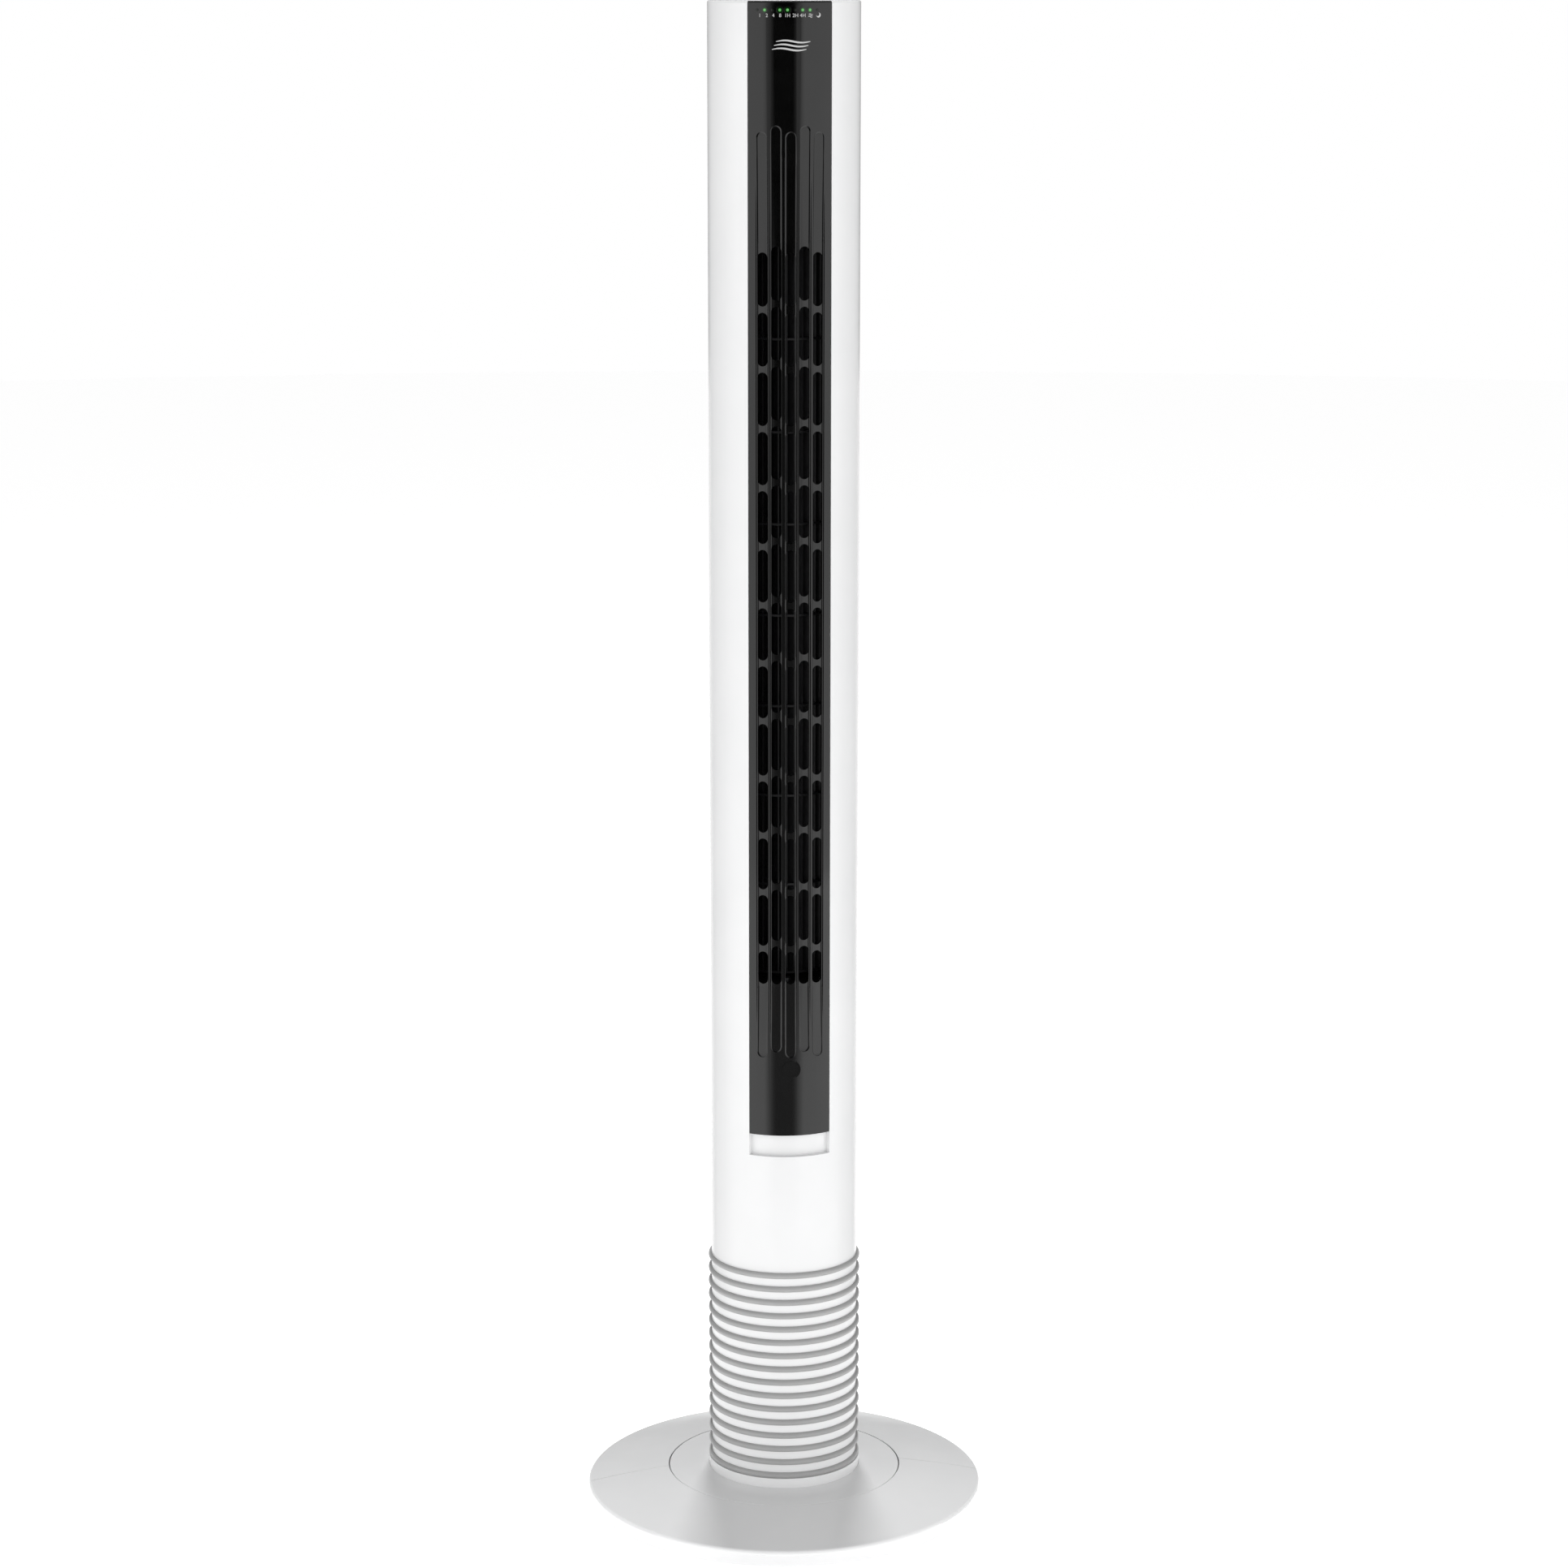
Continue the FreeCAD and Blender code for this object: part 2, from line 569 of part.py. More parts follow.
def make_rear_shell():
    """Rear half of the tower with rows of intake slots, the handle's window and the screw bosses."""
    half = rounded_wall("rear_half", "tower_wall", "tower_bottom", 89.9, 90)
    bosses = []
    tools = [block("handle_window", "handle_width + 4.2", "60", "handle_height + 4.2",
                   "-handle_width / 2 - 2.1", "20", "handle_bottom - 2.1")]
    for index, height in enumerate(SHELL_SCREW_HEIGHTS):
        for side in (-1, 1):
            x = str(side * SHELL_SCREW_OFFSET)
            name = "rear_boss_%d_%s" % (index, "right" if side > 0 else "left")
            bosses.append(rod_back(name, "4.6", "31.5", x, "0", str(height)))
            tools.append(rod_back(name + "_hole", "1.7", "14", x, "-1", str(height)))
            tools.append(rod_back(name + "_sink", "3.3", "30", x, "12", str(height)))
    for x in (-26, 26):
        for z in (232, 292):
            name = "board_boss_%s_%d" % ("right" if x > 0 else "left", z)
            bosses.append(rod_back(name, "3", "29", str(x), "21.7", str(z)))
    vents = []
    for step in range(int(number("vent_rows"))):
        for index, facing in enumerate((48, 76, 104, 132)):
            name = "vent_%d_%d" % (step, index)
            vents.append(slice_of(name, "tower_radius + 2", "12", "vent_height",
                                  "vent_bottom + vent_pitch * %d" % step, facing))
    whole = join("rear_solid", half, *bosses)
    opened = cut("rear_opened", whole, *tools)
    inner = rod("vent_core", "tower_radius - 6", "overall_height", z="0")
    keep(cut("rear_shell", opened, cut("vent_cutters", join("vent_slices", *vents), inner)))


def flute_middle(place_in_row):
    """Direction that a flute faces."""
    return -90.0 + place_in_row * number("flute_angle")


def stadium(name, width, bottom, top, near, far, facing):
    """An upright slot cutter: two flat sides and round ends, running outward in the direction facing."""
    wide = number(width)
    low = number(bottom) + wide / 2
    high = number(top) - wide / 2
    reach = number("%s - (%s)" % (far, near))
    edges = [Part.Arc(Vector(0, -wide / 2, low), Vector(0, 0, low - wide / 2), Vector(0, wide / 2, low)),
             Part.LineSegment(Vector(0, wide / 2, low), Vector(0, wide / 2, high)),
             Part.Arc(Vector(0, wide / 2, high), Vector(0, 0, high + wide / 2), Vector(0, -wide / 2, high)),
             Part.LineSegment(Vector(0, -wide / 2, high), Vector(0, -wide / 2, low))]
    face = Part.Face(Part.Wire([edge.toShape() for edge in edges]))
    face.translate(Vector(number(near), 0, 0))
    shape = face.extrude(Vector(reach, 0, 0))
    return solid(name, shape, facing)


def rounded_floor(flute):
    """A flute's cutter with its floor rounded into its walls all the way round."""
    item = doc.addObject("Part::Fillet", flute.Name + "_rounded")
    item.Base = flute
    radius = number("flute_round")
    chosen = []
    for index, edge in enumerate(flute.Shape.Edges, start=1):
        middle = edge.valueAt((edge.FirstParameter + edge.LastParameter) / 2)
        across = all(abs(vertex.Z - middle.z) < 0.001 for vertex in edge.Vertexes)
        if math.hypot(middle.x, middle.y) < number("tower_radius") and not across:
            chosen.append((index, radius, radius))
    item.Edges = chosen
    return item


def make_front_panel():
    """Glossy front panel: plain display field above, fluted air grille, plain foot below."""
    skin = rounded_wall("panel_front", "panel_skin", "panel_bottom", number("panel_angle"), -90)
    rim_outer = curved_plate("panel_rim", "tower_radius - 0.5", "tower_radius - channel_depth + fit_gap",
                             "panel_angle", "channel_top - panel_bottom", "panel_bottom")
    rim_room = slice_of("panel_room", "tower_radius", "panel_angle - 1.8",
                        "channel_top - panel_bottom - 4", "panel_bottom + 2")
    rim = cut("panel_rim_frame", rim_outer, rim_room)
    trough = curved_plate("grille_block", "tower_radius", "tower_radius - flute_depth - flute_skin",
                          "2.5 * flute_angle + 1.4", "flute_top - flute_bottom + slot_shift + 11",
                          "flute_bottom - 5.5")
    stud = rod_back("panel_stud", "8", "channel_depth - 0.3", "0", "-tower_radius + 0.15", "plug_height")
    plain_flutes = []
    slots = []
    for place_in_row in GRILLE_FLUTES:
        facing = flute_middle(place_in_row)
        tag = "%d" % (place_in_row + 2)
        shift = " + slot_shift" if place_in_row in (-1, 1) else ""
        ramp = turned("flute_ramp_" + tag, [
            ("tower_radius + 3", "flute_bottom - 10"),
            ("tower_radius + 3", "flute_top + 10"),
            ("tower_radius - flute_lip", "flute_top + 1" + shift),
            ("tower_radius - flute_depth", "slot_top + slot_shift + 2"),
            ("tower_radius - flute_depth", "slot_floor - 2"),
            ("tower_radius - flute_lip", "flute_bottom - 1" + shift)], 16, facing - 8)
        outline = stadium("flute_outline_" + tag, "flute_width", "flute_bottom" + shift,
                          "flute_top" + shift, "tower_radius - flute_depth - 4", "tower_radius + 4", facing)
        plain_flutes.append(common("flute_" + tag, ramp, outline))
        for step in range(int(number("slot_rows"))):
            top = "slot_top%s - slot_pitch * %d" % (shift, step)
            bottom = "%s - slot_height" % top
            if number(bottom) < number("slot_floor"):
                bottom = "slot_floor"
            slots.append(stadium("slot_%s_%d" % (tag, step), "slot_width", bottom, top,
                                 "tower_radius - flute_depth - 4", "tower_radius", facing))
    holes = [rod_back("plug_room", "plug_radius + 0.08", "2.2", "0", "-tower_radius - 0.3", "plug_height"),
             rod_back("panel_screw_room", "4.2", "2.2", "0", "-tower_radius + 1.8", "plug_height"),
             rod_back("panel_screw_way", "1.6", "8", "0", "-tower_radius", "plug_height")]
    for index in range(9):
        holes.append(lamp_rod("lamp_hole_%d" % index, index, "lamp_radius + 0.06", "3.4", "0.8"))
    doc.recompute()
    flutes = [rounded_floor(flute) for flute in plain_flutes]
    body = join("panel_body", skin, rim, trough, stud)
    fluted = cut("panel_fluted", body, *flutes)
    slotted = cut("panel_slotted", fluted, group("slot_cutters", slots))
    keep(cut("front_panel", slotted, *holes))


def lamp_rod(name, index, radius, length, proud):
    """A rod through the panel's skin at one lamp's place, its outer end proud of the tower's radius."""
    facing = math.radians(-90 + number("lamp_middle + lamp_step * %d" % (index - 4)))
    reach = "(tower_radius + %s)" % proud
    x = "%s * %.9f" % (reach, math.cos(facing))
    y = "%s * %.9f" % (reach, math.sin(facing))
    item = rod(name, radius, length, x, y, "lamp_height")
    inward = Vector(-math.cos(facing), -math.sin(facing), 0)
    item.Placement = Placement(item.Placement.Base, Rotation(Vector(0, 0, 1), inward))
    return item


def make_panel_fittings():
    """Screw plug, its screw, the lamps and the lamp strip behind them."""
    keep(rod_back("grille_plug", "plug_radius", "1.9", "0", "-tower_radius - 0.35", "plug_height"))
    shank = rod_back("panel_screw_stem", "1.25", "10", "0", "-tower_radius + 3.4", "plug_height")
    head = rod_back("panel_screw_head", "3.6", "1.5", "0", "-tower_radius + 1.9", "plug_height")
    keep(join("grille_screw", shank, head))
    lit = []
    unlit = []
    for index in range(9):
        lamp = lamp_rod("lamp_%d" % index, index, "lamp_radius", "panel_skin + 0.7", "0.04")
        (lit if index in LIT_LAMPS else unlit).append(lamp)
    keep(group("indicator_lamps", lit))
    keep(group("indicator_lamps_off", unlit))
    keep(curved_plate("lamp_strip", "tower_radius - panel_skin - 0.8", "tower_radius - panel_skin - 1.6",
                      "29", "5.2", "lamp_height - 4"))


# ---------------------------------------------------------------- top of the tower

def button_place(index):
    """Expressions for a push button's centre."""
    facing = math.radians(-90 + number("button_step") * (index - 2))
    return "button_circle * %.9f" % math.cos(facing), "button_circle * %.9f" % math.sin(facing)


def make_top():
    """Cap, push buttons, control board and the switches under the buttons."""
    plate = turned("cap_plate", [
        ("0", "cap_bottom"),
        ("cap_radius", "cap_bottom"),
        ("cap_radius", "cap_top - 1.2", "cap_radius - 0.35", "cap_top - 0.35"),
        ("cap_radius - 1.2", "cap_top"),
        ("0", "cap_top")])
    skirt = tube("cap_skirt", "51.8", "50", "9.2", z="cap_bottom - 9")
    posts = []
    for degrees in (20, 90, 160):
        x, y = around("42", degrees)
        posts.append(rod("cap_post_%d" % degrees, "3", "cap_bottom - board_top + 0.5", x, y, "board_top"))
    holes = []
    switches = []
    for index, name in enumerate(BUTTONS):
        x, y = button_place(index)
        holes.append(rod(name + "_hole", "button_radius + running_gap", "6", x, y, "cap_bottom - 1"))
        cap = turned(name + "_top", [
            ("0", "cap_bottom - 1.6"),
            ("button_radius + 1.1", "cap_bottom - 1.6"),
            ("button_radius + 1.1", "cap_bottom - 0.1"),
            ("button_radius", "cap_bottom - 0.1"),
            ("button_radius", "cap_top + 0.4", "button_radius - 0.2",
             "cap_top + button_travel - 0.15"),
            ("button_radius - 0.7", "cap_top + button_travel"),
            ("0", "cap_top + button_travel - 0.2")])
        cap.Placement = Placement(Vector(number(x), number(y), 0), Rotation())
        stem = rod(name + "_stem", "1.5", "5.5", x, y, "cap_bottom - 6.3")
        keep(join(name, cap, stem))
        base = doc.addObject("Part::Box", name + "_switch")
        bind(base, Length="6", Width="6", Height="3.5")
        place(base, x + " - 3", y + " - 3", "board_top")
        plunger = rod(name + "_plunger", "1.7", "2.1", x, y, "board_top + 3.4")
        switches.append(join(name + "_tact", base, plunger))
    keep(cut("top_cap", join("cap_solid", plate, skirt, *posts), *holes))
    keep(group("tact_switches", switches))
    keep(rod("control_board", "47", "1.6", z="board_top - 1.6"))


def make_handle():
    """Sunk cup in the rear shell that the fan is carried by."""
    outer = block("handle_outer", "handle_width + 4", "40", "handle_height + 4", "-handle_width / 2 - 2",
                  "handle_floor - 2", "handle_bottom - 2")
    inner = block("handle_room", "handle_width", "40", "handle_height", "-handle_width / 2",
                  "handle_floor", "handle_bottom")
    limit = rod("handle_limit", "tower_radius - 0.05", "handle_height + 20", z="handle_bottom - 10")
    keep(common("carry_handle", cut("handle_cup", outer, inner), limit))


def make_shell_screws():
    """Screws that hold the two halves of the tower together."""
    screws = []
    for index, height in enumerate(SHELL_SCREW_HEIGHTS):
        for side in (-1, 1):
            x = str(side * SHELL_SCREW_OFFSET)
            name = "shell_screw_%d_%s" % (index, "right" if side > 0 else "left")
            stem = rod_back(name + "_stem", "1.25", "26", x, "-14", str(height))
            head = rod_back(name + "_head", "3", "2.2", x, "12", str(height))
            screws.append(join(name, stem, head))
    keep(group("shell_screws", screws))


# ---------------------------------------------------------------- air system

def thick_curve(name, start, middle, finish, bottom, height):
    """A wall of the duct's thickness that follows an arc in plan."""
    arc = Part.Arc(Vector(*start, 0), Vector(*middle, 0), Vector(*finish, 0))
    circle = arc.toShape().Curve
    radius = circle.Radius
    centre = circle.Center
    skin = number("duct_skin")
    points = [Vector(*corner, 0) for corner in (start, middle, finish)]
    outer = [centre + (point - centre) * ((radius + skin) / radius) for point in points]
    edges = [Part.Arc(*points), Part.LineSegment(points[2], outer[2]), Part.Arc(*reversed(outer)),
             Part.LineSegment(outer[0], points[0])]
    face = Part.Face(Part.Wire([edge.toShape() for edge in edges]))
    face.translate(Vector(0, 0, number(bottom)))
    return solid(name, face.extrude(Vector(0, 0, number(height))))


def make_duct():
    """Air guides either side of the blower wheel, between two bulkheads."""
    floor = "bulkhead_low + bulkhead_skin"
    height = "bulkhead_high - bulkhead_low - bulkhead_skin"
    keep(thick_curve("scroll_guide", (-25.2, -43.3), (-43.0, -6.0), (-37.0, 36.0), floor, height))
    keep(thick_curve("tongue_guide", (25.2, -43.3), (33.4, -28.0), (36.5, -10.0), floor, height))
    for name, bottom, bore in (("lower_bulkhead", "bulkhead_low", "9"),
                               ("upper_bulkhead", "bulkhead_high", "11.1")):
        disc = rod(name + "_disc", "tower_radius - tower_wall - 0.1", "bulkhead_skin", z=bottom)
        front = curved_plate(name + "_front", "tower_radius", "50", "38", "bulkhead_skin + 2",
                             "%s - 1" % bottom)
        hole = rod(name + "_hole", bore, "bulkhead_skin + 2", "0", "blower_offset", "%s - 1" % bottom)
        tools = [front, hole]
        if name == "lower_bulkhead":
            for degrees in (30, 150, 270):
                x, y = motor_point("28", degrees)
                tools.append(rod("bulkhead_way_%d" % degrees, "1.7", "6", x, y, "bulkhead_low - 1"))
        keep(cut(name, disc, *tools))


def motor_point(radius, degrees):
    """Expressions for a point round the blower's axis."""
    x, y = around(radius, degrees)
    return x, y + " + blower_offset"


def make_blower():
    """Cross-flow wheel: rings joined by curved blades, on the motor's shaft and an upper pin."""
    radius = number("blower_radius")
    length = number("blower_length")
    cells = int(number("wheel_cells"))
    ring_height = 1.6
    hub_height = 10
    pieces = []
    for index in range(cells + 1):
        height = index * (length - ring_height) / cells
        ring = Part.makeCylinder(radius, ring_height, Vector(0, 0, height))
        if 0 < index < cells:
            ring = ring.cut(Part.makeCylinder(radius - 9, ring_height, Vector(0, 0, height)))
        pieces.append(ring)
    inner = [Vector(radius - 8.5, 0, 0), Vector(radius - 4.5, 3.3, 0), Vector(radius - 0.9, 5.5, 0)]
    lift = Vector(-0.25, 1.05, 0)
    outer = [point + lift for point in inner]
    edges = [Part.Arc(*inner), Part.LineSegment(inner[2], outer[2]), Part.Arc(*reversed(outer)),
             Part.LineSegment(outer[0], inner[0])]
    blade = Part.Face(Part.Wire([edge.toShape() for edge in edges])).extrude(Vector(0, 0, length))
    blades = int(number("blade_count"))
    for index in range(blades):
        copy = blade.copy()
        copy.rotate(Vector(0, 0, 0), Vector(0, 0, 1), index * 360.0 / blades)
        pieces.append(copy)
    for height in (0, length - hub_height):
        pieces.append(Part.makeCylinder(9, hub_height, Vector(0, 0, height)))
    shaft_bore = Part.makeCylinder(number("shaft_radius"), hub_height)
    pin_bore = Part.makeCylinder(3, hub_height, Vector(0, 0, length - hub_height))
    wheel = pieces[0].multiFuse(pieces[1:])
    item = solid("blower_wheel", wheel.cut([shaft_bore, pin_bore]))
    place(item, "0", "blower_offset", "blower_bottom")
    keep(item)
    keep(rod("motor_shaft", "shaft_radius", "blower_bottom + 10 - motor_bottom + 4", "0", "blower_offset",
             "motor_bottom - 4"))
    keep(rod("upper_pin", "3", "23", "0", "blower_offset", "blower_bottom + blower_length - 10"))
    keep(tube("upper_bush", "7", "3.06", "8", "0", "blower_offset", "bulkhead_high"))
    keep(tube("bush_rubber", "11", "7", "8", "0", "blower_offset", "bulkhead_high"))


def make_fan_motor():
    """Fan motor under the blower: two-piece can, stator, rotor, bearings, rubber mounts and screws."""
    split = "motor_bottom + motor_height / 2"
    upper_outside = rod("upper_can", "motor_radius", "motor_height / 2", "0", "blower_offset", split)
    upper_inside = rod("upper_can_room", "motor_radius - 1.8", "motor_height / 2 - 2", "0",
                       "blower_offset", split)
    upper_bore = rod("upper_can_bore", "8", "motor_height", "0", "blower_offset", split)
    tools = [upper_inside, upper_bore]
    lower_outside = rod("lower_can", "motor_radius", "motor_height / 2", "0", "blower_offset",
                        "motor_bottom")
    lower_inside = rod("lower_can_room", "motor_radius - 1.8", "motor_height / 2", "0", "blower_offset",
                       "motor_bottom + 2")
    lower_bore = rod("lower_can_bore", "8", "motor_height", "0", "blower_offset", "motor_bottom - 1")
    grommets = []
    screws = []
    for degrees in (30, 150, 270):
        x, y = motor_point("28", degrees)
        tools.append(rod("can_pilot_%d" % degrees, "1.3", "6", x, y, "motor_bottom + motor_height - 3"))
        grommets.append(tube("grommet_%d" % degrees, "6", "1.7", "bulkhead_low - motor_bottom - motor_height",
                             x, y, "motor_bottom + motor_height"))
        screws.append(screw("motor_screw_%d" % degrees, x, y, "bulkhead_low + bulkhead_skin", "1.25", "3.2",
                            "17", "1.8"))
    keep(cut("motor_can_upper", upper_outside, *tools))
    keep(cut("motor_can_lower", lower_outside, lower_inside, lower_bore))
    keep(tube("motor_stator", "motor_radius - 1.9", "20", "24", "0", "blower_offset", split + " - 12"))
    keep(tube("motor_rotor", "19.6", "shaft_radius", "24", "0", "blower_offset", split + " - 12"))
    bearings = [tube("bearing_low", "8", "shaft_radius + 0.06", "7", "0", "blower_offset",
                     "motor_bottom - 1"),
                tube("bearing_high", "8", "shaft_radius + 0.06", "7", "0", "blower_offset",
                     "motor_bottom + motor_height - 6")]
    keep(group("motor_bearings", bearings))
    keep(group("motor_grommets", grommets))
    keep(group("motor_screws", screws))


def make_power_board():
    """Power board and motor capacitor in the plain lower part of the tower."""
    keep(block("power_board", "64", "1.6", "80", "-32", "20", "222"))
    keep(rod_back("motor_capacitor", "8", "22", "0", "-2", "262"))


# ---------------------------------------------------------------- build, check and write

def make_all():
    make_base_plate()
    for name, facing in (("base_cover_front", -90), ("base_cover_rear", 90)):
        make_base_cover(name, facing)
    make_base_fittings()
    make_swing_drive()
    make_turntable()
    make_sector_gear()
    make_column()
    make_front_shell()
    make_rear_shell()
    make_front_panel()
    make_panel_fittings()
    make_top()
    make_handle()
    make_shell_screws()
    make_duct()
    make_blower()
    make_fan_motor()
    make_power_board()


def check_and_write():
    """Stop on any failed object or bad shape, then write one file for each sub-part."""
    for item in doc.Objects:
        if "Invalid" in item.State or "Error" in item.State:
            raise RuntimeError("%s failed: %s" % (item.Name, item.State))
    for name, item in nodes.items():
        if item.Shape.isNull() or not item.Shape.isValid():
            raise RuntimeError("%s has no valid shape" % name)
    os.makedirs("parts", exist_ok=True)
    for name, item in nodes.items():
        item.Shape.exportStep(os.path.join("parts", name + ".step"))
        print("%-22s %3d solids %12.1f mm3" % (name, len(item.Shape.Solids), item.Shape.Volume))


make_all()
doc.recompute()
check_and_write()
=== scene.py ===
import math

import bmesh
import bpy
from mathutils import Euler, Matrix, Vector


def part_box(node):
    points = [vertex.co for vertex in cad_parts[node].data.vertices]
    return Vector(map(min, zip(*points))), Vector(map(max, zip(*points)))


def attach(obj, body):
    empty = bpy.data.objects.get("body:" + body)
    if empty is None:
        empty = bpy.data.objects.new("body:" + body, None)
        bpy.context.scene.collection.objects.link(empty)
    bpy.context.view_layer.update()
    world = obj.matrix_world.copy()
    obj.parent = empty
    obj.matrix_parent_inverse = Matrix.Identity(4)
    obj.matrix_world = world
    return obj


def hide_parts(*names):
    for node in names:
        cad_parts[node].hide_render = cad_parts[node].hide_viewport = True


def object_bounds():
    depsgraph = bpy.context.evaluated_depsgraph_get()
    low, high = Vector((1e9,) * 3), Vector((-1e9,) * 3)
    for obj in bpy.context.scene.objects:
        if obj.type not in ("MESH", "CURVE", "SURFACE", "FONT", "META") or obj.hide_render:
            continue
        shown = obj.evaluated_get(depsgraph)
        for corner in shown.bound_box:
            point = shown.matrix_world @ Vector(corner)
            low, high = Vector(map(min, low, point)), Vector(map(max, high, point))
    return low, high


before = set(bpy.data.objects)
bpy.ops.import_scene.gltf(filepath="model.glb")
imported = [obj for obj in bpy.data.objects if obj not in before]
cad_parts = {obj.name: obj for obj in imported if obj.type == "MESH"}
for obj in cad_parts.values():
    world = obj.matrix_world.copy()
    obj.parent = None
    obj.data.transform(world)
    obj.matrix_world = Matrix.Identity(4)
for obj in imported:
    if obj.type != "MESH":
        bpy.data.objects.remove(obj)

cad_low, cad_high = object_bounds()

# ---------------------------------------------------------------- sizes, in metres and degrees

MM = 0.001
TOWER_RADIUS = -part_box("front_panel")[0].y          # outer face of the panel

LAMP_HEIGHT = (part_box("indicator_lamps")[0].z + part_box("indicator_lamps")[1].z) / 2
LAMP_PITCH = 5.62                                   # angle between neighbouring lamps
LAMP_MIDDLE = -2.45                                 # the middle lamp, from the front
LAMP_RADIUS = 0.95 * MM
LAMP_SINK = 0.6 * MM                                # how deep a lens reaches into the panel
LAMPS_LIT = (-3, -1, 0, 2, 3)                       # which of the nine glow, counted from the middle
LENS_SECTION = ((0.1, 0.16), (0.45, 0.14), (0.75, 0.10), (0.93, 0.04), (1.0, 0.0))  # (radii, mm up)
# the painted glow round each lit lamp is laid out in these rings
HALO_RINGS = 9
HALO_STEP = 0.22                                    # from ring to ring, in lamp radii

LEGEND_HEIGHT = LAMP_HEIGHT - 4.1 * MM
LEGEND_SIZE = 3.7 * MM
LEGEND = (("1", -23.0), ("2", -17.7), ("4", -12.8), ("8", -7.8), ("1H", -2.5), ("2H", 3.4), ("4H", 8.9))
LEGEND_BREEZE = 14.8                                # from the front, as the figures above
LEGEND_NIGHT = 21.1
SIGN_HEIGHT = LAMP_HEIGHT - 26.0 * MM
SIGN_ANGLE = 0.4
PRINT_LIFT = 0.01 * MM                              # the print stands this far off the panel
PRINT_DEPTH = 0.03 * MM

VIEW_TURN = math.radians(5)                         # the camera stands a little to the left
VIEW_PITCH = math.radians(11.78)
VIEW_DISTANCE = 3.064
VIEW_HEIGHT = 1.232
SENSOR = 36                                         # millimetres
LENS = 91.05

SKY = ((0.0, 1.08), (0.30, 1.03), (0.62, 0.46), (1.0, 0.24))    # (sine of height, brightness)
REAR_LIGHT = 0.15                                   # brightness behind the object, against the front
FLOOR_RADIUS = 9.0
FLOOR_GLOW = 0.70
CARD_HEIGHT = 2.0
CARD_CORE = 0.32                                    # share of a card's width that isn't faded
CARDS = (   # name, distance, angle from the view line, width, tone at foot and head, dims shading too
    ("front_card", 0.8, 0, 1.0, 0.22, 0.0, False),
    ("left_flag", 0.5, 118, 0.8, 0.42, 0.42, True),
    ("right_flag", 0.5, -118, 0.8, 0.42, 0.42, True))
SOFT_LIGHTS = (     # name, distance, height, angle from the view line, height aimed at, sides, watts
    ("left_box", 2.2, 0.9, 62, 0.6, (0.9, 1.8), 5.0),
    ("right_box", 2.2, 0.9, -62, 0.6, (0.9, 1.8), 5.0),
    ("back_box", -1.0, 3.2, 0, 0.05, (0.35, 0.35), 46.0))


# ---------------------------------------------------------------- materials

class Shader:
    """A Principled material, with short ways to add the textures that it is made of."""

    def __init__(self, name, **sockets):
        self.material = bpy.data.materials.new(name)
        self.material.use_nodes = True
        self.tree = self.material.node_tree
        self.surface = self.tree.nodes["Principled BSDF"]
        self.place = self.tree.nodes.new("ShaderNodeTexCoord")
        for socket, value in sockets.items():
            self.surface.inputs[socket.replace("_", " ")].default_value = value

    def node(self, kind, inputs=None, **settings):
        made = self.tree.nodes.new("ShaderNode" + kind)
        for setting, value in settings.items():
            setattr(made, setting, value)
        for socket, value in (inputs or {}).items():
            if isinstance(value, bpy.types.NodeSocket):
                self.tree.links.new(value, made.inputs[socket])
            else:
                made.inputs[socket].default_value = value
        return made

    def noise(self, scale, detail=2.0, stretch=(1, 1, 1), roughness=0.5):
        """Noise with this many cells a metre; stretch squeezes it along an axis."""
        mapped = self.node("Mapping", {"Vector": self.place.outputs["Object"], "Scale": stretch})
        inputs = {"Vector": mapped.outputs["Vector"], "Scale": scale,
                  "Detail": detail, "Roughness": roughness}
        return self.node("TexNoise", inputs).outputs["Fac"]

    def ramp(self, factor, *stops):
        """A colour ramp; each stop is (place, grey or colour)."""
        made = self.node("ValToRGB", {"Fac": factor})
        elements = made.color_ramp.elements
        while len(elements) < len(stops):
            elements.new(0.5)
        for element, (place, tone) in zip(elements, stops):
            element.position = place
            element.color = (*tone, 1) if isinstance(tone, tuple) else (tone, tone, tone, 1)
        return made.outputs["Color"]

    def link(self, output, socket):
        self.tree.links.new(output, self.surface.inputs[socket])

    def bump(self, height, depth, strength=1.0):
        made = self.node("Bump", {"Height": height, "Distance": depth, "Strength": strength})
        self.link(made.outputs["Normal"], "Normal")


def white_plastic():
    """Glossy white ABS: a faint mottle in the moulding and a very fine orange peel."""
    made = Shader("white_abs", IOR=1.52, Specular_IOR_Level=0.5)
    mottle = made.noise(14, detail=3)
    made.link(made.ramp(mottle, (0.3, (0.865, 0.868, 0.872)), (0.7, (0.895, 0.897, 0.9))), "Base Color")
    made.link(made.ramp(made.noise(60, detail=4), (0.35, 0.17), (0.7, 0.23)), "Roughness")
    made.bump(made.noise(700, detail=2), 0.004 * MM)
    return made.material


def gloss_shader(name):
    """Piano-black acrylic: near-mirror gloss, with the slight waviness of a moulding."""
    made = Shader(name, IOR=1.6)
    made.link(made.ramp(made.noise(40, detail=3), (0.3, 0.0015), (0.7, 0.003)), "Base Color")
    made.link(made.ramp(made.noise(150, detail=5), (0.4, 0.05), (0.75, 0.09)), "Roughness")
    made.bump(made.noise(320, detail=1), 0.002 * MM)
    return made


def grey_band():
    """Satin grey plastic of the column's bands."""
    made = Shader("satin_grey", IOR=1.5)
    made.link(made.ramp(made.noise(30, detail=3), (0.3, 0.38), (0.7, 0.415)), "Base Color")
    made.link(made.ramp(made.noise(120, detail=3), (0.3, 0.28), (0.7, 0.36)), "Roughness")
    made.bump(made.noise(900, detail=2), 0.006 * MM)
    return made.material


